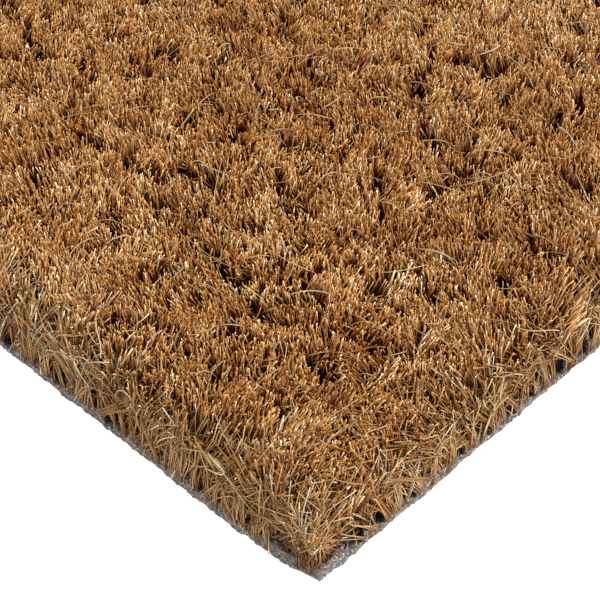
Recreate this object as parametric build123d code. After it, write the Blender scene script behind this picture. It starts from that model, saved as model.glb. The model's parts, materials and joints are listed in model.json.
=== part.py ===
from build123d import *
import os

# Door mat of cut coir set in a PVC sheet. Millimetres, +Z up.
# Origin: centre of the underside. X runs along the long side, Y across the width.

# ---- driving dimensions ----
mat_length = 600.0  # along X
mat_width = 400.0  # along Y
mat_height = 15.0  # underside of the sheet to the crown of the tufts
sheet_thickness = 3.0  # PVC sheet
row_pitch = 6.0  # from one planted row of tufts to the next
rows_per_node = 2  # rows that share a file, as separate solids
row_gap = 0.2  # air left between the flanks of two rows
root_width = 3.0  # the bound yarn ends where they sit in the sheet
root_depth = 2.0  # how far the yarn ends are sunk in the sheet
flare_top = 7.0  # height at which a tuft has opened to its full width
shoulder = 13.6  # height at which the crown starts to round over

row_count = round(mat_length / row_pitch)
node_count = row_count // rows_per_node
half_row = (row_pitch - row_gap) / 2
half_root = root_width / 2
groove_floor = sheet_thickness - root_depth


def row_centre(i):
    """X of planted row i, counted from the -X end."""
    return -mat_length / 2 + (i + 0.5) * row_pitch


def backing_sheet():
    """PVC sheet with one groove across its top for each row of yarn ends."""
    outline = [(-mat_length / 2, 0), (-mat_length / 2, sheet_thickness)]
    for i in range(row_count):
        x = row_centre(i)
        outline += [
            (x - half_root, sheet_thickness),
            (x - half_root, groove_floor),
            (x + half_root, groove_floor),
            (x + half_root, sheet_thickness),
        ]
    outline += [(mat_length / 2, sheet_thickness), (mat_length / 2, 0)]
    section = Plane.XZ.offset(-mat_width / 2) * make_face(Polyline(*outline, close=True))
    return extrude(section, amount=mat_width)


def tuft_row():
    """One row of cut yarn tufts, side by side across the width: narrow at the root, open above, crowned on top."""
    left = Polyline(
        (-half_row, shoulder),
        (-half_row, flare_top),
        (-half_root, sheet_thickness),
        (-half_root, groove_floor),
        (half_root, groove_floor),
        (half_root, sheet_thickness),
        (half_row, flare_top),
        (half_row, shoulder),
    )
    crown = ThreePointArc((half_row, shoulder), (0, mat_height), (-half_row, shoulder))
    section = Plane.XZ.offset(-mat_width / 2) * make_face(left + crown)
    return extrude(section, amount=mat_width)


os.makedirs("parts", exist_ok=True)

sheet = backing_sheet()
export_step(sheet, "parts/backing_sheet.step")

row = tuft_row()
for n in range(node_count):
    rows = [
        Pos(row_centre(n * rows_per_node + k), 0, 0) * row for k in range(rows_per_node)
    ]
    export_step(Compound(children=rows), f"parts/tuft_rows_{n + 1:02d}.step")

print("rows", row_count, "nodes", node_count + 1)
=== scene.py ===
import json
import math

import bpy
import numpy as np
from mathutils import Matrix, Vector

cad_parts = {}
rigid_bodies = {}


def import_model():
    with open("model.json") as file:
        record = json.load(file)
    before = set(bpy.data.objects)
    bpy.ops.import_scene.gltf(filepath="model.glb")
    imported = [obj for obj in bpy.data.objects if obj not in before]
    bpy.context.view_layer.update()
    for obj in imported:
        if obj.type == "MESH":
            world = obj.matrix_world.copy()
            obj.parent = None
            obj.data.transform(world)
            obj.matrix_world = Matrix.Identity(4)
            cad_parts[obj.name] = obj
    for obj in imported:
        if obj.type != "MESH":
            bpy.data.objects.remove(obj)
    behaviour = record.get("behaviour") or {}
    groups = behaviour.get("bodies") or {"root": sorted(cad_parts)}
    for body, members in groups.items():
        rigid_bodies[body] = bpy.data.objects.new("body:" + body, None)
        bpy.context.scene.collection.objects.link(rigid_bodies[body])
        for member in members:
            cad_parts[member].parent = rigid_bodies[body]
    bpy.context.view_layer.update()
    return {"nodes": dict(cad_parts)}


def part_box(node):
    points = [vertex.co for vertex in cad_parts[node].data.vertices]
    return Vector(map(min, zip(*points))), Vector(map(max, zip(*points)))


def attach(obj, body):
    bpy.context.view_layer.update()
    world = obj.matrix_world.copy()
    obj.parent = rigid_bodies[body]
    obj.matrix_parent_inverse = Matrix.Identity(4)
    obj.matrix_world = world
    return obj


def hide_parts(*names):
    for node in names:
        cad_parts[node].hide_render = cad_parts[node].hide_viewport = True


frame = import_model()


def box_mm(node):
    low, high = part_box(node)
    return np.array(low) * 1000.0, np.array(high) * 1000.0


# ---------------------------------------------------------------- sizes, mm
ROW_NODES = sorted(n for n in frame["nodes"] if n.startswith("tuft_rows_"))
SHEET_LO, SHEET_HI = box_mm("backing_sheet")
X0, Y0 = SHEET_LO[0], SHEET_LO[1]
X1, Y1 = SHEET_HI[0], SHEET_HI[1]
T = SHEET_HI[2]  # top of the sheet
PILE_LO, PILE_HI = box_mm(ROW_NODES[0])
CROWN = PILE_HI[2]  # top of the pile
ROOT_Z = PILE_LO[2]  # foot of the yarn ends, inside the sheet
ROWS_PER_NODE = 2
ROWS = len(ROW_NODES) * ROWS_PER_NODE
PITCH_X = (X1 - X0) / ROWS
TUFTS = int(round((Y1 - Y0) / PITCH_X))
PITCH_Y = (Y1 - Y0) / TUFTS
COLUMNS = 64  # shades of fibre


# ---------------------------------------------------------------- seeded noise
def hashed(i, j, seed):
    n = (
        i.astype(np.int64) * 374761393
        + j.astype(np.int64) * 668265263
        + np.int64(seed) * 2147483647
    ) & 0xFFFFFFFF
    n = ((n ^ (n >> 13)) * 1274126177) & 0xFFFFFFFF
    n = ((n ^ (n >> 15)) * 2246822519) & 0xFFFFFFFF
    return ((n ^ (n >> 16)) & 0xFFFFFF) / float(0xFFFFFF)


def vnoise(x, y, cell, seed):
    """Smooth value noise, -1 to 1, with features about cell mm across."""
    gx, gy = np.asarray(x, float) / cell, np.asarray(y, float) / cell
    ix, iy = np.floor(gx), np.floor(gy)
    fx, fy = gx - ix, gy - iy
    fx, fy = fx * fx * (3 - 2 * fx), fy * fy * (3 - 2 * fy)
    ix, iy = ix.astype(np.int64), iy.astype(np.int64)
    a = hashed(ix, iy, seed)
    b = hashed(ix + 1, iy, seed)
    c = hashed(ix, iy + 1, seed)
    d = hashed(ix + 1, iy + 1, seed)
    return 2 * ((a * (1 - fx) + b * fx) * (1 - fy) + (c * (1 - fx) + d * fx) * fy) - 1


# ---------------------------------------------------------------- fibre meshes
def tubes(p0, p1, p2, p3, r0, r1, column, segments, rng, band=0):
    """Closed three-sided tubes along cubic curves: vertices, quads, triangles and a UV for each vertex."""
    n = len(p0)
    s = segments + 1
    t = np.linspace(0.0, 1.0, s)[None, :, None]
    a, b, c, d = (q[:, None, :] for q in (p0, p1, p2, p3))
    m = 1 - t
    line = m**3 * a + 3 * m * m * t * b + 3 * m * t * t * c + t**3 * d
    slope = 3 * m * m * (b - a) + 6 * m * t * (c - b) + 3 * t * t * (d - c)
    slope /= np.maximum(np.linalg.norm(slope, axis=2, keepdims=True), 1e-9)
    chord = d - a
    turn = rng.uniform(0, 2 * np.pi, n)
    flat = np.stack([np.cos(turn), np.sin(turn), np.zeros(n)], 1)
    steep = np.abs(chord[:, 0, 2]) > 0.55 * np.linalg.norm(chord[:, 0], axis=1)
    ref = np.where(steep[:, None], flat, np.array([0.0, 0.0, 1.0]))[:, None, :]
    u = np.cross(slope, ref)
    u /= np.maximum(np.linalg.norm(u, axis=2, keepdims=True), 1e-9)
    v = np.cross(slope, u)
    radius = (r0[:, None] * (1 - t[..., 0]) + r1[:, None] * t[..., 0])[..., None]
    spin = rng.uniform(0, 2 * np.pi, n)[:, None, None]
    rings = []
    for k in range(3):
        ang = spin + 2 * np.pi * k / 3
        rings.append(line + radius * (np.cos(ang) * u + np.sin(ang) * v))
    verts = np.stack(rings, 2)  # n, s, 3, xyz
    base = (np.arange(n) * s * 3)[:, None, None]
    ring = (np.arange(segments) * 3)[None, :, None]
    k = np.arange(3)[None, None, :]
    k2 = (k + 1) % 3
    q = np.stack(
        np.broadcast_arrays(
            base + ring + k, base + ring + k2, base + ring + 3 + k2, base + ring + 3 + k
        ),
        -1,
    ).reshape(-1, 4)
    b1 = base[:, 0, 0]
    root = np.stack([b1 + 2, b1 + 1, b1], 1)
    tip = np.stack([b1, b1 + 1, b1 + 2], 1) + segments * 3
    uu = (
        column[:, None, None] + 0.2 + 0.3 * np.arange(3)[None, None, :]
    ) / COLUMNS + np.zeros((n, s, 3))
    half = np.broadcast_to(np.asarray(band, float), (n,))[:, None, None] * 0.5
    vv = half + 0.01 + 0.48 * t + np.zeros((n, s, 3))
    uv = np.stack([uu, vv], -1).reshape(-1, 2)
    return verts.reshape(-1, 3), q, np.concatenate([root, tip]), uv


def gather(parts):
    verts, quads, tris, uvs, at = [], [], [], [], 0
    for v, q, t, uv in parts:
        verts.append(v)
        quads.append(q + at)
        tris.append(t + at)
        uvs.append(uv)
        at += len(v)
    return (
        np.concatenate(verts),
        np.concatenate(quads),
        np.concatenate(tris),
        np.concatenate(uvs),
    )


def mesh_object(name, verts, quads, tris, uvs=None, smooth=True, flip=False):
    me = bpy.data.meshes.new(name)
    verts = np.asarray(verts, np.float32) * 0.001
    loops = np.concatenate([quads.reshape(-1), tris.reshape(-1)]).astype(np.int32)
    if flip:
        loops = np.concatenate(
            [quads[:, ::-1].reshape(-1), tris[:, ::-1].reshape(-1)]
        ).astype(np.int32)
    totals = np.concatenate(
        [np.full(len(quads), 4, np.int32), np.full(len(tris), 3, np.int32)]
    )
    starts = np.concatenate([[0], np.cumsum(totals)[:-1]]).astype(np.int32)
    me.vertices.add(len(verts))
    me.vertices.foreach_set("co", verts.reshape(-1))
    me.loops.add(len(loops))
    me.loops.foreach_set("vertex_index", loops)
    me.polygons.add(len(totals))
    me.polygons.foreach_set("loop_start", starts)
    me.polygons.foreach_set("loop_total", totals)
    me.polygons.foreach_set("use_smooth", np.full(len(totals), smooth))
    if uvs is not None:
        layer = me.uv_layers.new(name="OFBake")
        layer.data.foreach_set("uv", uvs[loops].astype(np.float32).reshape(-1))
    me.update(calc_edges=True)
    me.validate(clean_customdata=False)
    ob = bpy.data.objects.new(name, me)
    bpy.context.scene.collection.objects.link(ob)
    return ob


# ---------------------------------------------------------------- where detail goes
CORNER = np.array([X1, Y0])  # the corner the camera looks at


def corner_axes(x, y):
    """Depth along the diagonal from the near corner, and distance to the right of it."""
    u, v = CORNER[0] - x, y - CORNER[1]
    return (u + v) / math.sqrt(2), (v - u) / math.sqrt(2)


def detail(x, y):
    """2 near the near corner, 1 around that, 0 elsewhere."""
    d, side = corner_axes(x, y)
    half = 45 + 0.14 * d
    near = (d < 146) & (np.abs(side) < half)
    mid = (d < 172) & (np.abs(side) < half + 20)
    return np.where(near, 2, np.where(mid, 1, 0))


def edge_frame(x, y):
    """Distance to the nearest side, and that side's inward direction."""
    d = np.stack([x - X0, X1 - x, y - Y0, Y1 - y], -1)
    k = np.argmin(d, -1)
    inward = np.array([[1.0, 0], [-1, 0], [0, 1], [0, -1]])[k]
    return np.min(d, -1), inward


# Far from the near corner fewer, coarser fibres carry the same cover; kind 3 is that area's outer tufts.
PER_TUFT = (48, 98, 144, 48)
WIDTH = (0.70, 0.28, 0.234, 0.60)
SEGMENTS = (1, 3, 4, 2)
TONE = (0.455, 0.49, 0.50, 0.455)


def unit(v):
    return v / np.maximum(np.linalg.norm(v, axis=-1, keepdims=True), 1e-9)


def keep_in(q, slack, give=0.75):
    """Turn points that stray past the sheet's outline back over it."""
    for axis, low, high in ((0, X0, X1), (1, Y0, Y1)):
        over = np.maximum(q[:, axis] - (high + slack), 0)
        under = np.maximum((low - slack) - q[:, axis], 0)
        q[:, axis] += (1 + give) * (under - over)
    return q


def disc(a, b):
    """Square -1..1 to the unit disc, keeping neighbours together."""
    return a * np.sqrt(1 - b * b / 2), b * np.sqrt(1 - a * a / 2)


def cut_sockets():
    """Sockets the cut laid open, round the sheet: place, half width, depth, height of the floor."""
    rng = np.random.default_rng(99)
    w, l = Y1 - Y0, X1 - X0
    pits = []
    for a, b, pitch in (
        (0, w, PITCH_Y),
        (w, w + l, PITCH_X),
        (w + l, 2 * w + l, PITCH_Y),
        (2 * w + l, 2 * (w + l), PITCH_X),
    ):
        for c in np.arange(a + pitch / 2, b, pitch):
            often = 0.78 if a == 0 else 0.45
            if rng.uniform() < often and 7 < c < 2 * (w + l) - 7:
                pits.append(
                    (
                        c + rng.normal(0, 0.6),
                        rng.uniform(0.85, 1.5),
                        rng.uniform(1.3, 2.3),
                        rng.uniform(0.9, 1.4),
                    )
                )
    return pits


PITS = cut_sockets()


def over_socket(at, k):
    """Whether a place along near side k (0 or 1) is over an open socket."""
    at = np.asarray(at, float)
    if k > 1:
        return np.zeros(len(at), bool)
    s = at if k == 0 else 2 * (X1 - X0 + Y1 - Y0) - at
    near = np.zeros(len(at), bool)
    for c, w, _, _ in PITS:
        near |= np.abs(s - c) < w * 1.2
    return near


def row_parts(i, rng):
    """The fibres of planted row i, as tube parts."""
    x = X0 + (i + 0.5) * PITCH_X
    j = np.arange(TUFTS)
    ty = Y0 + (j + 0.5) * PITCH_Y + rng.normal(0, 0.45, TUFTS)
    tx = x + rng.normal(0, 0.45, TUFTS)
    level = detail(np.full(TUFTS, x), ty)
    level = np.where((level == 0) & (edge_frame(tx, ty)[0] < 10), 3, level)
    parts = []
    for lv in range(4):
        sel = level == lv
        if not sel.any():
            continue
        count = PER_TUFT[lv]
        cx, cy = tx[sel], ty[sel]
        m = len(cx)
        n = m * count

        def spread(v):
            return np.repeat(v, count)

        # each tuft is two plies that part along a line through it, and lean their own ways
        part = rng.uniform(0, 2 * np.pi, m)
        ply_x = np.stack([cx + 1.4 * np.cos(part), cx - 1.4 * np.cos(part)], 1)
        ply_y = np.stack([cy + 1.4 * np.sin(part), cy - 1.4 * np.sin(part)], 1)

        def ply_field(seed):
            return (
                0.13 * vnoise(ply_x, ply_y, 21, seed)
                + 0.28 * vnoise(ply_x, ply_y, 8.5, seed + 1)
                + rng.normal(0, 0.25, (m, 2))
            )

        tilt_x, tilt_y = ply_field(11), ply_field(21)
        curl_x, curl_y = rng.normal(0, 0.75, (m, 2)), rng.normal(0, 0.75, (m, 2))
        ply_tall = rng.normal(0, 0.25, (m, 2)) + 0.5 * vnoise(ply_x, ply_y, 14, 31)
        ply_tone = (
            rng.normal(0, 0.075, (m, 2))
            + 0.09 * vnoise(ply_x, ply_y, 26, 41)
            + 0.07 * vnoise(ply_x, ply_y, 70, 42)
        )

        a, b = rng.uniform(-1, 1, n), rng.uniform(-1, 1, n)
        which = (a * np.cos(spread(part)) + b * np.sin(spread(part)) < 0).astype(int)
        row_of = np.repeat(np.arange(m), count)

        def of_ply(v):
            return v[row_of, which]

        fx, fy = of_ply(tilt_x), of_ply(tilt_y)
        da, db = disc(a, b)
        rx = spread(cx) + da * 1.75
        ry = spread(cy) + db * 1.75
        dist, inward = edge_frame(spread(cx), spread(cy))
        outer = dist < PITCH_X * 0.8
        push = np.where(outer, rng.uniform(-2.4, 0.6, n), 0)
        rx += inward[:, 0] * push
        ry += inward[:, 1] * push
        rim = rng.uniform(0.1, 0.8, n)
        tight = np.hypot(CORNER[0] - rx, ry - CORNER[1]) < 11
        rim = np.where(tight, rng.uniform(0.7, 1.8, n), rim)
        rx = np.clip(rx, X0 + rim, X1 - rim)
        ry = np.clip(ry, Y0 + rim, Y1 - rim)
        for k, gap, at in ((0, X1 - rx, ry - Y0), (1, ry - Y0, X1 - rx)):
            opened = (gap < 2.0) & over_socket(at, k)
            rx = rx - np.where(opened & (k == 0), 1.8, 0)
            ry = ry + np.where(opened & (k == 1), 1.8, 0)
        dist, inward = edge_frame(rx, ry)
        verge = np.clip(1 - dist / 6.0, 0, 1)
        slope_in = np.tan(
            np.radians(31) * verge + rng.normal(0, 0.12, n) * (verge > 0)
        ) * (verge > 0)
        wild = rng.uniform(0, 1, n) < 0.30
        jit = np.where(wild, 0.66, 0.26)
        loose = 1 + 0.7 * verge
        dx = fx * loose + inward[:, 0] * slope_in + rng.normal(0, 1, n) * jit
        dy = fy * loose + inward[:, 1] * slope_in + rng.normal(0, 1, n) * jit
        top = unit(np.stack([dx, dy, np.ones(n)], 1))
        dome = 0.45 * (1 - (a * a + b * b))
        tall = rng.normal(0, 0.42, n) + of_ply(ply_tall) + dome
        short = rng.uniform(0, 1, n) < 0.12
        tall = np.where(short, tall - rng.uniform(0.5, 3.5, n), tall)
        proud = rng.uniform(0, 1, n) < 0.04
        tall = np.where(proud, tall + rng.uniform(0.3, 1.5, n), tall)
        reach = CROWN - 0.9 - T + tall  # length above the sheet
        cell = np.where(outer, 0.6, 1.0)
        fan = np.where(rng.uniform(0, 1, n) < 0.24, 1.45, 1.0)
        p3 = np.stack(
            [
                spread(cx) + a * 3.0 * cell * fan + fx * 4.2,
                spread(cy) + b * 3.0 * cell * fan + fy * 4.2,
                T + reach,
            ],
            1,
        )
        # along a side the fibres start at the cut face and lean in
        verge_tip = np.stack(
            [rx + dx * reach * 0.85, ry + dy * reach * 0.85, p3[:, 2]], 1
        )
        w_edge = np.clip(verge * 2.2, 0, 1)[:, None]
        p3 = p3 * (1 - w_edge) + verge_tip * w_edge
        tip_dist, _ = edge_frame(p3[:, 0], p3[:, 1])
        corner_gap = np.hypot(
            np.abs(p3[:, 0] - (X0 + X1) / 2) - (X1 - X0) / 2,
            np.abs(p3[:, 1] - (Y0 + Y1) / 2) - (Y1 - Y0) / 2,
        )
        p3[:, 2] -= 3.4 * np.clip(1 - tip_dist / 5, 0, 1) ** 2
        p3[:, 2] -= 4.2 * np.exp(-((corner_gap / 7.5) ** 2))
        p3[:, 2] = np.maximum(p3[:, 2], T + 1.2)
        if SEGMENTS[lv] == 1:
            p3[:, :2] += top[:, :2] * (reach * 0.3)[:, None]
        p0 = np.stack([rx, ry, ROOT_Z + rng.uniform(0.2, 0.9, n)], 1)
        p2 = p3 - top * (reach * 0.42)[:, None]
        p2[:, :2] += rng.normal(0, 1, (n, 2)) * np.where(wild, 1.2, 0.6)[:, None]
        p1 = p0 + np.stack([0.12 * (p3 - p0)[:, 0], 0.12 * (p3 - p0)[:, 1], reach * 0.33], 1)
        p1[:, :2] += rng.normal(0, 0.2, (n, 2))
        hook = 1 + 1.7 * verge
        p2[:, 0] += of_ply(curl_x) * hook
        p2[:, 1] += of_ply(curl_y) * hook
        p1[:, 0] -= 0.5 * of_ply(curl_x)
        p1[:, 1] -= 0.5 * of_ply(curl_y)
        # a few are bent over near the tip
        bent = rng.uniform(0, 1, n) < 0.15
        way = rng.uniform(0, 2 * np.pi, n)
        over = rng.uniform(1.2, 3.4, n)
        p3[bent, 0] += (over * np.cos(way))[bent]
        p3[bent, 1] += (over * np.sin(way))[bent]
        p3[bent, 2] -= (over * rng.uniform(-0.1, 0.45, n))[bent]
        p2[bent, 2] += 2.0
        slack = np.where(tight, rng.uniform(-1.2, 0.1, n), rng.uniform(-0.6, 0.35, n))
        for q in (p1, p2, p3):
            keep_in(q, slack)
        w = WIDTH[lv] * np.exp(rng.normal(0, 0.2, n))
        tone = TONE[lv] + 0.08 * verge + rng.normal(0, 0.17, n) + of_ply(ply_tone)
        tone = np.where(rng.uniform(0, 1, n) < 0.05, tone + 0.2, tone)
        tone -= 0.06 * np.exp(-((corner_axes(rx, ry)[0] / 34) ** 2))
        col = np.floor(np.clip(tone, 0, 0.999) * COLUMNS)
        parts.append(
            tubes(p0, p1, p2, p3, w * 0.52, w * 0.43, col, SEGMENTS[lv], rng, dist < 2.6)
        )
    return parts


# ---------------------------------------------------------------- the sides
SIDES = [  # start corner, direction along, inward direction, length; the first two meet at the near corner
    (np.array([X1, Y0]), np.array([0.0, 1.0]), np.array([-1.0, 0.0]), Y1 - Y0),
    (np.array([X1, Y0]), np.array([-1.0, 0.0]), np.array([0.0, 1.0]), X1 - X0),
    (np.array([X0, Y1]), np.array([0.0, -1.0]), np.array([1.0, 0.0]), Y1 - Y0),
    (np.array([X0, Y1]), np.array([1.0, 0.0]), np.array([0.0, -1.0]), X1 - X0),
]


def side_fibres(side, at, depth, z0, tilt_in, tilt_along, length, bow, width, tone, seg, rng, bend=0.0):
    """Strands that stand on a cut side: all arrays, one entry a strand."""
    start, along, inward, _ = side
    n = len(at)
    foot = start + at[:, None] * along + depth[:, None] * inward
    way = (
        np.sin(tilt_in)[:, None] * np.array([*inward, 0.0])
        + np.sin(tilt_along)[:, None] * np.array([*along, 0.0])
        + (np.cos(tilt_in) * np.cos(tilt_along))[:, None] * np.array([0.0, 0.0, 1.0])
    )
    way = unit(way)
    out = -np.array([*inward, 0.0])
    p0 = np.concatenate([foot, z0[:, None]], 1)
    p3 = p0 + way * length[:, None]
    p1 = p0 + way * (length * 0.33)[:, None] + out * bow[:, None]
    p2 = p0 + way * (length * 0.68)[:, None] + out * (bow * 0.8)[:, None]
    curly = np.where(rng.uniform(0, 1, n) < 0.3, 2.4, 0.6)[:, None]
    p1 += rng.normal(0, 0.42, (n, 3)) * curly - 0.5 * bend
    p2 += rng.normal(0, 0.75, (n, 3)) * curly + bend
    p3 += rng.normal(0, 0.5, (n, 3)) * curly - 0.4 * bend
    close = np.hypot(CORNER[0] - p0[:, 0], p0[:, 1] - CORNER[1]) < 11
    for q, low in ((p1, T + 0.2), (p2, T + 0.4), (p3, T + 0.6)):
        q[:, 2] = np.maximum(q[:, 2], low)
        keep_in(q, np.where(close, rng.uniform(-1.2, 0.2, n), rng.uniform(-0.8, 0.45, n)))
    col = np.floor(np.clip(tone, 0, 0.999) * COLUMNS)
    return tubes(p0, p1, p2, p3, width * 0.5, width * 0.42, col, seg, rng, 1)


def fringe():
    rng = np.random.default_rng(515)
    parts = []
    for k, side in enumerate(SIDES):
        total = side[3]
        zones = [(0.0, 85.0, 2), (85.0, total, 0)] if k < 2 else [(0.0, total, 0)]
        for lo, hi, lv in zones:
            step = 1.35 if lv else 2.6
            heads = np.arange(lo + 0.4, hi - 0.2, step)
            heads = heads + rng.normal(0, 0.45 * step, len(heads))
            per = 14 if lv else 5
            n = len(heads) * per
            rep = lambda v: np.repeat(v, per)
            lean = rng.normal(0, 0.50, len(heads)) + 0.5 * vnoise(heads, heads * 0 + k, 9, 61)
            flop = rng.uniform(0, 1, len(heads)) < 0.13
            lean = np.where(flop & (heads > 14), rng.choice([-1, 1], len(heads)) * rng.uniform(0.9, 1.3, len(heads)), lean)
            bend = rng.normal(0, 1.0, (len(heads), 3)) * (1.5 if lv else 0.6)
            lean += 0.7 * np.clip(1 - heads / 10, 0, 1) - 0.7 * np.clip(1 - (total - heads) / 10, 0, 1)
            tilt = np.radians(37) + rng.normal(0, 0.22, len(heads))
            low = np.where(heads < 12, rng.uniform(T, T + 1.0, len(heads)), rng.uniform(T - 1.8, T + 0.3, len(heads)))
            at = rep(heads) + rng.normal(0, 0.55 * max(step, 1) ** 0.5, n)
            at = np.clip(at, 0.3, total - 0.3)
            opened = over_socket(at, k)
            wide = (0.208 if lv else 0.42) * np.exp(rng.normal(0, 0.25, n))
            parts.append(
                side_fibres(
                    side,
                    at,
                    np.where(at < 12, rng.uniform(0.4, 1.8, n), rng.uniform(-0.15, 1.3, n)) + opened * 1.6,
                    np.where(opened, T + 0.5, rep(low)) + rng.uniform(-0.3, 1.4, n),
                    rep(tilt) + rng.normal(0, 0.20, n),
                    rep(lean) + rng.normal(0, 1, n) * np.where(rng.uniform(0, 1, n) < 0.14, 0.6, 0.14),
                    rng.uniform(4.0, 10.5, n),
                    rng.uniform(0.0, 0.8, n),
                    wide,
                    rep(rng.normal(0.66, 0.09, len(heads))) + rng.normal(0, 0.15, n),
                    6 if lv else 2,
                    rng,
                    np.repeat(bend, per, 0),
                )
            )
            # wisps rooted in the cut face itself, low in the sheet, which rise over its edge
            if lv:
                heads = np.arange(lo + 9, hi, 1.05)
                heads = heads + rng.normal(0, 0.5, len(heads))
                per = 6
                n = len(heads) * per
                wisp = np.repeat(np.arange(len(heads)), per)
                low = rng.uniform(*((1.0, 2.4) if k == 0 else (1.9, 2.8)), len(heads))[wisp] + rng.normal(0, 0.2, n)
                lean = rng.normal(0, 0.5, len(heads))[wisp] + rng.normal(0, 0.09, n)
                at = heads[wisp] + rng.normal(0, 0.4, n)
                keep = ~over_socket(at, k) & (at > 7.5)
                at, low, lean, wisp = at[keep], low[keep].clip(0.7, T), lean[keep], wisp[keep]
                n = len(at)
                start, along, inward, _ = side
                long = rng.uniform(3.0, 7.0, len(heads))[wisp] + rng.normal(0, 0.8, n)
                sway = rng.normal(0, 0.8, (len(heads), 2))[wisp]
                over = rng.uniform(0.8, 3.8, len(heads))[wisp]
                gap = rng.uniform(0.02, 0.32, n)

                def spot(slip, depth, z):
                    xy = start + (at + slip)[:, None] * along + depth[:, None] * inward
                    return np.concatenate([xy, z[:, None]], 1)

                p0 = spot(0 * at, -gap, low)
                p1 = spot(lean * 1.2 - 0.4 * sway[:, 0], -gap - rng.uniform(0, 0.3, n), T + rng.uniform(0.0, 1.2, n))
                p2 = spot(
                    lean * (1.2 + 0.5 * long) + sway[:, 0] + rng.normal(0, 0.25, n),
                    0.4 * over + rng.normal(0, 0.3, n),
                    T + 0.6 * long,
                )
                p3 = spot(
                    lean * (1.2 + long) + sway[:, 1] + rng.normal(0, 0.4, n),
                    over + rng.normal(0, 0.4, n),
                    T + long * rng.uniform(0.8, 1.0, n),
                )
                for q in (p1, p2, p3):
                    keep_in(q, rng.uniform(0.25, 0.7, n))
                w = 0.21 * np.exp(rng.normal(0, 0.22, n))
                tone = np.clip(rng.normal(0.64, 0.09, len(heads))[wisp] + rng.normal(0, 0.11, n), 0, 0.999)
                parts.append(
                    tubes(p0, p1, p2, p3, w * 0.5, w * 0.42, np.floor(tone * COLUMNS), 6, rng, 1)
                )
            # strands that droop over the sheet's edge
            n = int((hi - lo) * (0.75 if lv else 0.12))
            start, along, inward, _ = side
            at = rng.uniform(lo + 9, hi - 1, n)
            at = at[~over_socket(at, k)]
            n = len(at)
            slide = rng.normal(0, 2.2, n)
            foot = start + at[:, None] * along + rng.uniform(0.8, 3.0, n)[:, None] * inward
            tip = (
                start
                + np.clip(at + slide, 7, total - 0.5)[:, None] * along
                - rng.uniform(0.1, 0.9, n)[:, None] * inward
            )
            p0 = np.concatenate([foot, rng.uniform(T, T + 4.5, n)[:, None]], 1)
            p3 = np.concatenate([tip, rng.uniform(0.9, 2.9, n)[:, None]], 1)
            p1 = p0 * 0.7 + p3 * 0.3 + np.array([0, 0, 1.6]) + rng.normal(0, 0.4, (n, 3))
            p2 = p0 * 0.25 + p3 * 0.75 + np.array([0, 0, 1.2]) + rng.normal(0, 0.3, (n, 3))
            for q in (p1, p2, p3):
                keep_in(q, rng.uniform(0.1, 0.8, n))
            w = (0.26 if lv else 0.4) * np.exp(rng.normal(0, 0.2, n))
            col = np.floor(np.clip(rng.normal(0.62, 0.18, n), 0, 0.999) * COLUMNS)
            parts.append(tubes(p0, p1, p2, p3, w * 0.5, w * 0.42, col, 6 if lv else 3, rng, 1))
            # hooks and loops
            n = int((hi - lo) * (0.45 if lv else 0.0))
            if n:
                at = rng.uniform(lo + 2, hi - 2, n)
                foot = start + at[:, None] * along + rng.uniform(0.4, 6.0, n)[:, None] * inward
                p0 = np.concatenate([foot, rng.uniform(T + 0.5, T + 7, n)[:, None]], 1)
                p3 = p0 + rng.normal(0, 1.0, (n, 3))
                size = rng.uniform(2.5, 6.5, n)[:, None]
                up = unit(
                    rng.normal(0, 0.8, (n, 1)) * np.array([*along, 0.0])
                    - rng.uniform(-0.3, 0.5, (n, 1)) * np.array([*inward, 0.0])
                    + np.array([0, 0, 1.0])
                )
                wide = np.array([*along, 0.0]) * rng.choice([-1, 1], (n, 1)) + rng.normal(0, 0.3, (n, 3))
                p1 = p0 + (up + 0.75 * wide) * size
                p2 = p3 + (up - 0.75 * wide) * size
                for q in (p0, p1, p2, p3):
                    keep_in(q, rng.uniform(0.0, 0.6, n))
                    q[:, 2] = np.maximum(q[:, 2], T + 0.2)
                w = 0.2 * np.exp(rng.normal(0, 0.2, n))
                col = np.floor(np.clip(rng.normal(0.78, 0.12, n), 0, 0.999) * COLUMNS)
                parts.append(tubes(p0, p1, p2, p3, w * 0.5, w * 0.42, col, 12, rng, 1))
            # strands that curl along the side, caught in the others
            n = int((hi - lo) * (1.7 if lv else 0.25))
            at = rng.uniform(lo + 3, hi - 3, n)
            half = rng.uniform(1.5, 6.0, n) * rng.choice([-1, 1], n)
            a2 = start + np.clip(at - half, 0.6, total - 0.6)[:, None] * along + rng.uniform(0.2, 3.5, n)[:, None] * inward
            b2 = start + np.clip(at + half, 0.6, total - 0.6)[:, None] * along + rng.uniform(0.6, 5.0, n)[:, None] * inward
            p0 = np.concatenate([a2, rng.uniform(T + 0.1, T + 5, n)[:, None]], 1)
            p3 = np.concatenate([b2, rng.uniform(T + 1, T + 9, n)[:, None]], 1)
            out = -np.array([*inward, 0.0])
            bulge = rng.uniform(0.0, 1.5, n)[:, None]
            p1 = p0 * 0.67 + p3 * 0.33 + out * bulge + rng.normal(0, 1.3, (n, 3))
            p2 = p0 * 0.33 + p3 * 0.67 + out * bulge + rng.normal(0, 1.3, (n, 3))
            for q in (p0, p1, p2, p3):
                keep_in(q, rng.uniform(-0.4, 0.5, n))
                q[:, 2] = np.maximum(q[:, 2], T + 0.2)
            w = (0.175 if lv else 0.36) * np.exp(rng.normal(0, 0.22, n))
            col = np.floor(np.clip(rng.normal(0.72, 0.17, n), 0, 0.999) * COLUMNS)
            parts.append(tubes(p0, p1, p2, p3, w * 0.5, w * 0.4, col, 8 if lv else 3, rng, 1))
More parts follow.
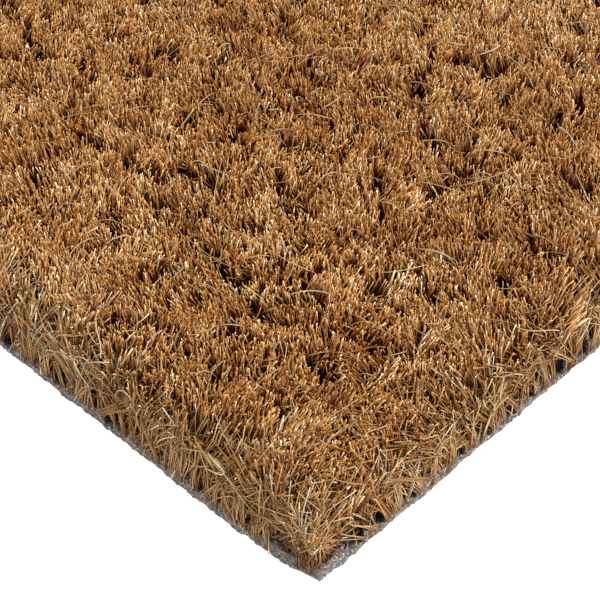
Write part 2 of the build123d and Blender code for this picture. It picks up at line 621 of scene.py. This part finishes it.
    # the near corner's tuft is splayed over both sides
    n = 90
    hub = CORNER + np.array([-2.4, 2.6]) + rng.normal(0, 0.7, (n, 2))
    p3 = np.concatenate([hub, rng.uniform(5.6, 8.2, n)[:, None]], 1)
    fan = rng.uniform(-1, 1, n)
    foot = np.where(
        (fan < 0)[:, None],
        CORNER + np.stack([fan * 6.5 - 0.9, 0 * fan + 1.3], 1),
        CORNER + np.stack([0 * fan - 0.9, fan * 6.5 + 2.4], 1),
    )
    foot += rng.normal(0, 0.3, (n, 2))
    p0 = np.concatenate([foot, rng.uniform(T - 0.1, T + 1.1, n)[:, None]], 1)
    p1 = p0 * 0.66 + p3 * 0.34 + rng.normal(0, 0.25, (n, 3))
    p2 = p0 * 0.33 + p3 * 0.67 + rng.normal(0, 0.25, (n, 3)) + np.array([0.3, -0.3, 0.3])
    for q in (p0, p1, p2, p3):
        keep_in(q, rng.uniform(-0.5, 0.3, n))
    w = 0.23 * np.exp(rng.normal(0, 0.2, n))
    col = np.floor(np.clip(rng.normal(0.62, 0.16, n), 0, 0.999) * COLUMNS)
    parts.append(tubes(p0, p1, p2, p3, w * 0.44, w * 0.5, col, 5, rng, 1))
    return parts


def strays():
    """Long loose fibres lying over the pile, most of them pale."""
    rng = np.random.default_rng(8181)
    parts = []
    for lv, n, width in ((2, 560, 0.205), (0, 1500, 0.27)):
        if lv:
            d = rng.uniform(2, 150, n * 3)
            side = rng.uniform(-68, 68, n * 3)
            x = CORNER[0] - (d - side) / math.sqrt(2)
            y = CORNER[1] + (d + side) / math.sqrt(2)
        else:
            x, y = rng.uniform(X0, X1, n * 3), rng.uniform(Y0, Y1, n * 3)
        ok = (x > X0 + 3) & (x < X1 - 3) & (y > Y0 + 3) & (y < Y1 - 3)
        if not lv:
            ok &= detail(x, y) < 2
        x, y = x[ok][:n], y[ok][:n]
        n = len(x)
        way = rng.uniform(0, 2 * np.pi, n)
        long = np.exp(rng.normal(1.75, 0.5, n)).clip(3.0, 18)
        dirn = np.stack([np.cos(way), np.sin(way)], 1)
        perp = np.stack([-dirn[:, 1], dirn[:, 0]], 1)
        curl = rng.normal(0, 0.38, n) * long
        curl2 = curl * rng.uniform(0.2, 1.1, n) * np.where(rng.uniform(0, 1, n) < 0.2, -1, 1)
        at = np.stack([x, y], 1)
        a2 = at - dirn * long[:, None] * 0.5
        b2 = at + dirn * long[:, None] * 0.5
        h = CROWN - 1.3
        p0 = np.concatenate([a2, (h + rng.uniform(-3.0, 0.4, n))[:, None]], 1)
        p3 = np.concatenate([b2, (h + rng.uniform(-1.5, 1.3, n))[:, None]], 1)
        p1 = np.concatenate(
            [a2 + dirn * (0.25 * long)[:, None] + perp * curl[:, None], (h + rng.uniform(0.2, 2.2, n))[:, None]], 1
        )
        p2 = np.concatenate(
            [b2 - dirn * (0.25 * long)[:, None] + perp * curl2[:, None], (h + rng.uniform(0.0, 2.0, n))[:, None]], 1
        )
        for p in (p0, p1, p2, p3):
            p[:, 0] = np.clip(p[:, 0], X0 + 0.5, X1 - 0.5)
            p[:, 1] = np.clip(p[:, 1], Y0 + 0.5, Y1 - 0.5)
        w = width * np.exp(rng.normal(0, 0.25, n))
        col = np.floor(np.clip(rng.normal(0.75, 0.13, n), 0, 0.94) * COLUMNS)
        parts.append(tubes(p0, p1, p2, p3, w * 0.48, w * 0.34, col, 9 if lv else 5, rng, 1))
    return parts


# ---------------------------------------------------------------- backing sheet
def sheet_columns():
    """Stations round the sheet, anticlockwise from the near corner: distance and the point on the plain rectangle."""
    w, l = Y1 - Y0, X1 - X0
    total = 2 * (w + l)

    def run(a, b, step):
        return np.linspace(a, b, max(2, int(round((b - a) / step)) + 1))[:-1]

    s = np.concatenate(
        [
            run(0, 84, 0.22),
            run(84, 130, 0.6),
            run(130, w, 1.5),
            run(w, w + l, 1.6),
            run(w + l, 2 * w + l, 1.6),
            run(2 * w + l, total - 130, 1.5),
            run(total - 130, total - 84, 0.6),
            run(total - 84, total, 0.22),
        ]
    )
    x = np.interp(s, [0, w, w + l, 2 * w + l, total], [X1, X1, X0, X0, X1])
    y = np.interp(s, [0, w, w + l, 2 * w + l, total], [Y0, Y1, Y1, Y0, Y0])
    nx = np.where(s < w, 1.0, np.where((s >= w + l) & (s < 2 * w + l), -1.0, 0.0))
    ny = np.where((s >= w) & (s < w + l), 1.0, np.where(s >= 2 * w + l, -1.0, 0.0))
    return s, x, y, nx, ny, total


def smooth(a):
    a = np.clip(a, 0, 1)
    return a * a * (3 - 2 * a)


def sheet():
    s, x, y, nx, ny, total = sheet_columns()
    m = len(s)
    cx, cy = (X0 + X1) / 2, (Y0 + Y1) / 2
    hx, hy = (X1 - X0) / 2, (Y1 - Y0) / 2
    pits = PITS
    levels = np.array([0.0, 0.07, 0.22, 0.42, 0.64, 0.86, 1.08, 1.3, 1.52, 1.74, 1.96, 2.18, 2.4, 2.62, 2.82, 2.95])
    levels = levels * (T / 3.0)
    ledge = np.array([0.07, 0.2, 0.4, 0.62, 0.86, 1.12, 1.42, 1.76, 2.15, 2.6, 3.1, 3.7, 4.6, 6.2, 9.0, 14.0])
    under = np.array([14.0, 5.0, 1.2, 0.25])
    rings = [(i, 0.0, "under") for i in under]
    rings += [(0.0, z, "wall") for z in levels]
    rings += [(i, T, "ledge") for i in ledge]
    # the outline wanders, and the near corner is cut a little askew
    back = total - s
    askew = np.where(back < 12, 1.75 * np.clip(1 - back / 12, 0, 1) ** 1.3, 0)
    up_right = np.where(s < 4, 1.7 * np.clip(1 - s / 4, 0, 1), 0)
    wander = 0.16 * vnoise(s, s * 0, 7.0, 71) + 0.13 * vnoise(s, s * 0, 2.1, 72)
    ends = smooth(np.minimum(s, back) / 1.2)
    verts = np.zeros((len(rings), m, 3))
    pit_in = np.zeros((len(rings), m))
    lip = np.zeros(m)
    for c, w, deep, floor_z in pits:
        near = np.abs(s - c)
        f = smooth((1.2 - near / w) / 0.5)
        for r, (inset, z, kind) in enumerate(rings):
            if kind == "wall":
                pit_in[r] = np.maximum(pit_in[r], deep * f * smooth((z - floor_z) / 0.5 + 0.4))
            elif kind == "ledge":
                pit_in[r] = np.maximum(pit_in[r], deep * f)
        lip = np.maximum(lip, np.exp(-(((near - w * 1.15) / 0.45) ** 2)) * min(deep, 1.3) * 0.55)
    for r, (inset, z, kind) in enumerate(rings):
        d = inset + pit_in[r] * (1 - inset / 14.0)
        px = cx + (x - cx) * (hx - d) / hx
        py = cy + (y - cy) * (hy - d) / hy
        out = wander * ends * (1 - np.clip(inset / 10, 0, 1))
        pz = np.full(m, float(z))
        if kind == "wall":
            grain = 0.17 * vnoise(s, s * 0 + z * 1.0, 0.6, 73) + 0.12 * vnoise(s, s * 0 + z, 1.7, 74)
            out = out + grain * ends + 0.10 * (z / T) - 0.10
            if z == 0.0:
                out = out - 0.14
                pz = pz + 0.0
            elif z < 0.3:
                pz = pz + 0.05 + 0.05 * vnoise(s, s * 0, 0.9, 75)
            if z > 0.8 * T:
                pz = pz + lip * (z / T - 0.8) * 5.0 + 0.12 * vnoise(s, s * 0, 1.4, 76)
        elif kind == "ledge":
            grain = 0.16 * vnoise(px, py, 0.7, 77) + 0.14 * vnoise(px, py, 1.9, 78)
            fade = np.exp(-inset / 1.1)
            pz = pz + grain + lip * fade + 0.12 * vnoise(s, s * 0, 1.4, 76) * fade
            root = 0.55 * np.exp(-(((inset - 1.1) / 0.7) ** 2)) * (0.5 + 0.5 * np.cos(2 * np.pi * s / PITCH_X))
            pz = pz + root * (pit_in[r] < 0.3)
        px = px + nx * out
        py = py + ny * out
        # the skewed cut moves the last stretch of the -Y side inwards
        k = np.clip(1 - inset / 10, 0, 1)
        py = py + askew * k * (ny < 0)
        py = py + up_right * k * (nx > 0) * (1 - smooth(s / 4))
        verts[r, :, 0], verts[r, :, 1], verts[r, :, 2] = px, py, pz
    n_r = len(rings)
    idx = np.arange(n_r * m).reshape(n_r, m)
    c2 = np.roll(np.arange(m), -1)
    quads = np.stack([idx[:-1], idx[:-1][:, c2], idx[1:][:, c2], idx[1:]], -1)
    # map: the stations are cut into strips, finest by the near corner
    step = np.diff(np.append(s, total))
    load = np.where(step < 0.3, 0.085, np.where(step < 0.8, 0.25, 0.55)) ** -1 * step
    pos = np.concatenate([[0], np.cumsum(load)])
    strips = 14
    pos = pos / pos[-1] * strips * 0.99999
    strip = np.minimum(np.floor(pos[:-1]).astype(int), strips - 1)
    ulo = pos[:-1] - strip
    uhi = np.minimum(pos[1:] - strip, 1.0)
    vring = np.linspace(0.06, 0.94, n_r)
    top_share = 0.84
    uq = np.zeros((n_r - 1, m, 4, 2))
    for r in range(n_r - 1):
        v_lo = (strip + vring[r]) / strips * top_share
        v_hi = (strip + vring[r + 1]) / strips * top_share
        uq[r, :, 0] = np.stack([0.002 + 0.996 * ulo, v_lo], 1)
        uq[r, :, 1] = np.stack([0.002 + 0.996 * uhi, v_lo], 1)
        uq[r, :, 2] = np.stack([0.002 + 0.996 * uhi, v_hi], 1)
        uq[r, :, 3] = np.stack([0.002 + 0.996 * ulo, v_hi], 1)
    flat_v = verts.reshape(-1, 3)
    flat_q = quads.reshape(-1, 4)
    me = bpy.data.meshes.new("pvc_backing_sheet")
    bottom = idx[0][::-1]
    top = idx[-1]
    loops = np.concatenate([flat_q.reshape(-1), bottom, top]).astype(np.int32)
    totals = np.concatenate([np.full(len(flat_q), 4), [m], [m]]).astype(np.int32)
    starts = np.concatenate([[0], np.cumsum(totals)[:-1]]).astype(np.int32)
    cap = []
    for ring_ids, v0 in ((bottom, 0.845), (top, 0.925)):
        p = flat_v[ring_ids]
        cap.append(
            np.stack([(p[:, 0] - X0) / (X1 - X0), v0 + 0.07 * (p[:, 1] - Y0) / (Y1 - Y0)], 1)
        )
    uv = np.concatenate([uq.reshape(-1, 2), *cap])
    me.vertices.add(len(flat_v))
    me.vertices.foreach_set("co", (flat_v * 0.001).astype(np.float32).reshape(-1))
    me.loops.add(len(loops))
    me.loops.foreach_set("vertex_index", loops)
    me.polygons.add(len(totals))
    me.polygons.foreach_set("loop_start", starts)
    me.polygons.foreach_set("loop_total", totals)
    me.polygons.foreach_set("use_smooth", np.full(len(totals), True))
    layer = me.uv_layers.new(name="OFBake")
    layer.data.foreach_set("uv", uv.astype(np.float32).reshape(-1))
    me.update(calc_edges=True)
    me.validate(clean_customdata=False)
    ob = bpy.data.objects.new("pvc_backing_sheet", me)
    bpy.context.scene.collection.objects.link(ob)
    return ob


# ---------------------------------------------------------------- materials
def nodes_of(name):
    mat = bpy.data.materials.new(name)
    mat.use_nodes = True
    nt = mat.node_tree
    nt.nodes.clear()
    out = nt.nodes.new("ShaderNodeOutputMaterial")
    p = nt.nodes.new("ShaderNodeBsdfPrincipled")
    nt.links.new(p.outputs[0], out.inputs["Surface"])
    return mat, nt, p


def ramp(nt, stops, interpolation="LINEAR"):
    r = nt.nodes.new("ShaderNodeValToRGB")
    r.color_ramp.interpolation = interpolation
    el = r.color_ramp.elements
    while len(el) > 1:
        el.remove(el[-1])
    el[0].position, el[0].color = stops[0][0], (*stops[0][1], 1)
    for pos, colour in stops[1:]:
        e = el.new(pos)
        e.color = (*colour, 1)
    return r


def srgb(r, g, b):
    return tuple(
        c / 12.92 if c <= 0.04045 else ((c + 0.055) / 1.055) ** 2.4
        for c in (r / 255, g / 255, b / 255)
    )


def mix(nt, kind, factor, a, b):
    m = nt.nodes.new("ShaderNodeMix")
    m.data_type, m.blend_type = "RGBA", kind
    m.inputs["Factor"].default_value = factor
    nt.links.new(a, m.inputs["A"])
    nt.links.new(b, m.inputs["B"])
    return m.outputs["Result"]


def coir_material(name, shades, along):
    """Shade across the map, root to tip up it, with faint bands and flecks on each fibre; up the map each fibre
    darkens towards its foot, which is painted shade of the deep pile with some dust.
    """
    mat, nt, p = nodes_of(name)
    uv = nt.nodes.new("ShaderNodeUVMap")
    uv.uv_map = "OFBake"
    sep = nt.nodes.new("ShaderNodeSeparateXYZ")
    nt.links.new(uv.outputs[0], sep.inputs[0])
    shade = ramp(nt, shades)
    nt.links.new(sep.outputs["X"], shade.inputs[0])
    foot_shade_to_tip = ramp(nt, along)
    nt.links.new(sep.outputs["Y"], foot_shade_to_tip.inputs[0])
    stretch = nt.nodes.new("ShaderNodeMapping")
    stretch.inputs["Scale"].default_value = (COLUMNS * 1.7, 9.0, 1.0)
    nt.links.new(uv.outputs[0], stretch.inputs[0])
    streak = nt.nodes.new("ShaderNodeTexNoise")
    streak.inputs["Scale"].default_value = 1.0
    streak.inputs["Detail"].default_value = 3.0
    nt.links.new(stretch.outputs[0], streak.inputs[0])
    bands = ramp(nt, [(0.3, (0.72, 0.70, 0.66)), (0.7, (1.18, 1.16, 1.12))])
    nt.links.new(streak.outputs["Fac"], bands.inputs[0])
    # multiply in the foot-to-tip ramp: painted shade towards each fibre's foot
    colour = mix(nt, "MULTIPLY", 1.0, shade.outputs[0], foot_shade_to_tip.outputs[0])
    colour = mix(nt, "MULTIPLY", 0.8, colour, bands.outputs[0])
    nt.links.new(colour, p.inputs["Base Color"])
    p.inputs["Roughness"].default_value = 0.42
    p.inputs["IOR"].default_value = 1.45
    p.inputs["Specular IOR Level"].default_value = 0.3
    return mat


FIBRE_SHADES = [
    (0.00, srgb(84, 38, 8)),
    (0.18, srgb(122, 69, 22)),
    (0.40, srgb(160, 107, 49)),
    (0.60, srgb(184, 139, 83)),
    (0.80, srgb(206, 174, 129)),
    (0.92, srgb(222, 199, 162)),
    (1.00, srgb(234, 217, 188)),
]
# painted shade: the dark low end of each run darkens the fibres' feet as shade deep in the pile, with some dust; the
# pile's tips are lightened
PAINTED_FOOT_SHADE_TO_TIP = [  # the pile's fibres, foot to tip, then the strands of the sides
    (0.00, (0.03, 0.008, 0.001)),
    (0.28, (0.06, 0.02, 0.003)),
    (0.385, (0.25, 0.10, 0.018)),
    (0.44, (0.76, 0.58, 0.37)),
    (0.474, (1.06, 1.05, 1.0)),
    (0.488, (1.65, 1.7, 1.8)),
    (0.498, (1.65, 1.7, 1.8)),
    (0.502, (0.13, 0.055, 0.018)),
    (0.56, (0.34, 0.22, 0.11)),
    (0.68, (0.76, 0.71, 0.65)),
    (0.90, (0.85, 0.87, 0.89)),
    (1.00, (0.95, 0.99, 1.05)),
]
coir = coir_material("coir_fibre", FIBRE_SHADES, PAINTED_FOOT_SHADE_TO_TIP)
stray_mat = coir


# ---------------------------------------------------------------- pile
def heavy(k):
    """A node whose rows cross the most detailed area, shown one row to a piece."""
    x = X0 + (k * ROWS_PER_NODE + 1) * PITCH_X
    ty = Y0 + (np.arange(TUFTS) + 0.5) * PITCH_Y
    return (detail(np.full(TUFTS, x), ty) == 2).sum() > 12


for k, node in enumerate(ROW_NODES):
    rng = np.random.default_rng(7100 + k)
    rows = [row_parts(k * ROWS_PER_NODE + r, rng) for r in range(ROWS_PER_NODE)]
    if heavy(k):
        groups = [("_" + "ab"[r], parts) for r, parts in enumerate(rows)]
    else:
        groups = [("", [part for parts in rows for part in parts])]
    for tail, parts in groups:
        v, q, t, uv = gather(parts)
        ob = mesh_object("coir_" + node + tail, v, q, t, uv)
        ob.data.materials.append(coir)
        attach(ob, "root")
        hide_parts(node)

for name, parts, mat_of in (
    ("coir_edge_fringe", fringe(), coir),
    ("coir_loose_strands", strays(), stray_mat),
):
    v, q, t, uv = gather(parts)
    ob = mesh_object(name, v, q, t, uv)
    ob.data.materials.append(mat_of)
    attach(ob, "root")


def pith_material():
    mat, nt, p = nodes_of("coir_pith")
    tc = nt.nodes.new("ShaderNodeTexCoord")
    noise = nt.nodes.new("ShaderNodeTexNoise")
    noise.inputs["Scale"].default_value = 420.0
    noise.inputs["Detail"].default_value = 4.0
    nt.links.new(tc.outputs["Object"], noise.inputs[0])
    shade = ramp(
        nt,
        [
            (0.34, srgb(58, 30, 16)),
            (0.48, srgb(98, 62, 40)),
            (0.56, srgb(136, 96, 66)),
            (0.63, srgb(212, 186, 152)),
        ],
    )
    nt.links.new(noise.outputs["Fac"], shade.inputs[0])
    nt.links.new(shade.outputs[0], p.inputs["Base Color"])
    p.inputs["Roughness"].default_value = 0.75
    return mat


def pith_flecks():
    """Crumbs of husk pith lodged between the fibres."""
    rng = np.random.default_rng(606)
    g = (1 + 5**0.5) / 2
    ball = np.array(
        [(-1, g, 0), (1, g, 0), (-1, -g, 0), (1, -g, 0), (0, -1, g), (0, 1, g),
         (0, -1, -g), (0, 1, -g), (g, 0, -1), (g, 0, 1), (-g, 0, -1), (-g, 0, 1)], float)
    ball = unit(ball)
    tri = [(0, 11, 5), (0, 5, 1), (0, 1, 7), (0, 7, 10), (0, 10, 11), (1, 5, 9), (5, 11, 4),
           (11, 10, 2), (10, 7, 6), (7, 1, 8), (3, 9, 4), (3, 4, 2), (3, 2, 6), (3, 6, 8),
           (3, 8, 9), (4, 9, 5), (2, 4, 11), (6, 2, 10), (8, 6, 7), (9, 8, 1)]
    pts, mid, faces = [tuple(p) for p in ball], {}, []
    for a, b, c in tri:
        m = []
        for i, j in ((a, b), (b, c), (c, a)):
            key = (min(i, j), max(i, j))
            if key not in mid:
                q = unit(np.array(pts[i]) + np.array(pts[j]))
                mid[key] = len(pts)
                pts.append(tuple(q))
            m.append(mid[key])
        faces += [(a, m[0], m[2]), (b, m[1], m[0]), (c, m[2], m[1]), tuple(m)]
    pts, faces = np.array(pts), np.array(faces)
    d = rng.uniform(1.5, 150, 900)
    side = rng.uniform(-66, 66, 900)
    x = np.concatenate([CORNER[0] - (d - side) / math.sqrt(2), rng.uniform(X0, X1, 700)])
    y = np.concatenate([CORNER[1] + (d + side) / math.sqrt(2), rng.uniform(Y0, Y1, 700)])
    ok = (x > X0 + 2) & (x < X1 - 2) & (y > Y0 + 2) & (y < Y1 - 2)
    x, y = x[ok], y[ok]
    n = len(x)
    size = np.exp(rng.normal(-1.15, 0.35, n)).clip(0.15, 0.6)
    z = rng.uniform(CROWN - 4.0, CROWN - 1.2, n)
    verts = np.zeros((n, len(pts), 3))
    for i in range(n):
        turn = np.linalg.qr(rng.normal(0, 1, (3, 3)))[0]
        stretch = rng.uniform(0.5, 1.0, 3) * [1.25, 0.8, 0.4]
        lump = 1 + rng.normal(0, 0.26, len(pts))
        verts[i] = (pts * lump[:, None] * stretch) @ turn.T * size[i] + (x[i], y[i], z[i])
        if np.linalg.det(turn) < 0:
            verts[i] = 2 * np.array([x[i], y[i], z[i]]) - verts[i]
    faces_all = (faces[None] + (np.arange(n) * len(pts))[:, None, None]).reshape(-1, 3)
    return mesh_object(
        "coir_pith_flecks", verts.reshape(-1, 3), np.zeros((0, 4), int), faces_all
    )


flecks = pith_flecks()
flecks.data.materials.append(pith_material())
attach(flecks, "root")


def pvc_material():
    mat, nt, p = nodes_of("pvc_sheet")
    tc = nt.nodes.new("ShaderNodeTexCoord")
    grain = nt.nodes.new("ShaderNodeTexNoise")
    grain.inputs["Scale"].default_value = 2300.0
    grain.inputs["Detail"].default_value = 5.0
    grain.inputs["Roughness"].default_value = 0.62
    nt.links.new(tc.outputs["Object"], grain.inputs[0])
    cells = nt.nodes.new("ShaderNodeTexVoronoi")
    cells.inputs["Scale"].default_value = 2600.0
    nt.links.new(tc.outputs["Object"], cells.inputs[0])
    grey = ramp(
        nt,
        [
            (0.37, srgb(34, 29, 25)),
            (0.45, srgb(74, 67, 61)),
            (0.53, srgb(106, 97, 89)),
            (0.60, srgb(146, 135, 124)),
            (0.68, srgb(206, 194, 180)),
        ],
    )
    nt.links.new(grain.outputs["Fac"], grey.inputs[0])
    pits = ramp(nt, [(0.0, (1.25, 1.24, 1.22)), (0.5, (0.9, 0.9, 0.89)), (0.8, (0.4, 0.39, 0.38))])
    nt.links.new(cells.outputs["Distance"], pits.inputs[0])
    colour = mix(nt, "MULTIPLY", 0.85, grey.outputs[0], pits.outputs[0])
    # between the tufts and in the open sockets the sheet's top is darkened nearly to black: painted shade under the
    # pile and in the sockets, tinted brown for husk dust
    place = nt.nodes.new("ShaderNodeSeparateXYZ")
    nt.links.new(tc.outputs["Object"], place.inputs[0])

    def maths(kind, a, b):
        m = nt.nodes.new("ShaderNodeMath")
        m.operation = kind
        for k, v in enumerate((a, b)):
            if isinstance(v, float):
                m.inputs[k].default_value = v
            elif v is not None:
                nt.links.new(v, m.inputs[k])
        return m.outputs[0]

    across = maths("ADD", maths("ABSOLUTE", maths("SUBTRACT", place.outputs["X"], (X0 + X1) / 2000), None), -(X1 - X0) / 2000)
    along = maths("ADD", maths("ABSOLUTE", maths("SUBTRACT", place.outputs["Y"], (Y0 + Y1) / 2000), None), -(Y1 - Y0) / 2000)
    inner = nt.nodes.new("ShaderNodeMapRange")
    inner.inputs["From Min"].default_value = -0.00025
    inner.inputs["From Max"].default_value = -0.0011
    nt.links.new(maths("MAXIMUM", across, along), inner.inputs["Value"])
    upper = maths("GREATER_THAN", place.outputs["Z"], T / 4000)
    # painted shade with dust: more than about a millimetre inside the outline, above a quarter of the sheet's height,
    # the colour is multiplied towards near-black brown
    dust_and_painted_shade = nt.nodes.new("ShaderNodeMix")
    dust_and_painted_shade.data_type, dust_and_painted_shade.blend_type = "RGBA", "MULTIPLY"
    nt.links.new(maths("MULTIPLY", inner.outputs["Result"], upper), dust_and_painted_shade.inputs["Factor"])
    nt.links.new(colour, dust_and_painted_shade.inputs["A"])
    dust_and_painted_shade.inputs["B"].default_value = (0.10, 0.062, 0.036, 1)
    colour = dust_and_painted_shade.outputs["Result"]
    nt.links.new(colour, p.inputs["Base Color"])
    rough = nt.nodes.new("ShaderNodeMapRange")
    rough.inputs["To Min"].default_value = 0.42
    rough.inputs["To Max"].default_value = 0.78
    nt.links.new(grain.outputs["Fac"], rough.inputs["Value"])
    nt.links.new(rough.outputs["Result"], p.inputs["Roughness"])
    bump = nt.nodes.new("ShaderNodeBump")
    bump.inputs["Strength"].default_value = 0.8
    bump.inputs["Distance"].default_value = 0.00028
    nt.links.new(grain.outputs["Fac"], bump.inputs["Height"])
    nt.links.new(bump.outputs["Normal"], p.inputs["Normal"])
    return mat


backing = sheet()
backing.data.materials.append(pvc_material())
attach(backing, "root")
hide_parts("backing_sheet")

# ---------------------------------------------------------------- floor, light, camera
mat, nt, p = nodes_of("studio_floor")
p.inputs["Base Color"].default_value = (0.9, 0.9, 0.9, 1)
p.inputs["Roughness"].default_value = 0.9
p.inputs["Emission Color"].default_value = (1, 1, 1, 1)
p.inputs["Emission Strength"].default_value = 0.68
me = bpy.data.meshes.new("studio_floor")
s = 6.0
me.from_pydata(
    [(-s, -s, -0.0003), (s, -s, -0.0003), (s, s, -0.0003), (-s, s, -0.0003)],
    [],
    [(0, 1, 2, 3)],
)
floor = bpy.data.objects.new("studio_floor", me)
bpy.context.scene.collection.objects.link(floor)
me.materials.append(mat)


def area(name, at, target, size, power, colour=(1, 1, 1)):
    data = bpy.data.lights.new(name, "AREA")
    data.shape = "DISK"
    data.size = size
    data.energy = power
    data.color = colour
    ob = bpy.data.objects.new(name, data)
    bpy.context.scene.collection.objects.link(ob)
    ob.location = at
    ob.rotation_euler = (
        (Vector(target) - Vector(at)).to_track_quat("-Z", "Y").to_euler()
    )
    return ob


area("key", (2.1, 0.85, 2.05), (0.1, 0, 0), 0.75, 108.0)
area("fill", (-0.6, -2.4, 2.0), (0.1, 0, 0), 1.8, 22.0)
world = bpy.data.worlds.new("studio")
bpy.context.scene.world = world
world.use_nodes = True
bg = world.node_tree.nodes["Background"]
bg.inputs["Color"].default_value = (1, 1, 1, 1)
bg.inputs["Strength"].default_value = 0.66
bpy.context.scene.view_settings.view_transform = "Standard"
bpy.context.scene.view_settings.look = "None"

# The camera looks down the diagonal at the near corner.
FOCAL_PX, ELEV, YAW = 1633.0, math.radians(42.91), math.radians(134.10)
SCALE = 7.0  # px per mm at the near corner, in a 600 px frame
CORNER_PX = (312.1, 590.2)
ahead = Vector((math.cos(YAW), math.sin(YAW), 0))
F = Vector((math.cos(ELEV) * ahead.x, math.cos(ELEV) * ahead.y, -math.sin(ELEV)))
R = Vector((math.sin(YAW), -math.cos(YAW), 0))
U = R.cross(F)
depth = FOCAL_PX / SCALE / 1000.0
corner = Vector((X1 / 1000, Y0 / 1000, 0))
eye = corner - depth * (
    F
    + ((CORNER_PX[0] - 300) / FOCAL_PX) * R
    - ((CORNER_PX[1] - 300) / FOCAL_PX) * U
)
cam_data = bpy.data.cameras.new("camera")
cam_data.sensor_width = 36.0
cam_data.lens = FOCAL_PX * 36.0 / 600.0
cam_data.clip_start = 0.01
cam_data.clip_end = 50.0
cam = bpy.data.objects.new("camera", cam_data)
bpy.context.scene.collection.objects.link(cam)
cam.matrix_world = Matrix(
    (
        (R.x, U.x, -F.x, eye.x),
        (R.y, U.y, -F.y, eye.y),
        (R.z, U.z, -F.z, eye.z),
        (0, 0, 0, 1),
    )
)
bpy.context.scene.camera = cam

faces = sum(
    len(o.data.polygons) for o in bpy.context.scene.objects if o.type == "MESH"
)
print("faces", faces, "rows", ROWS, "tufts a row", TUFTS)
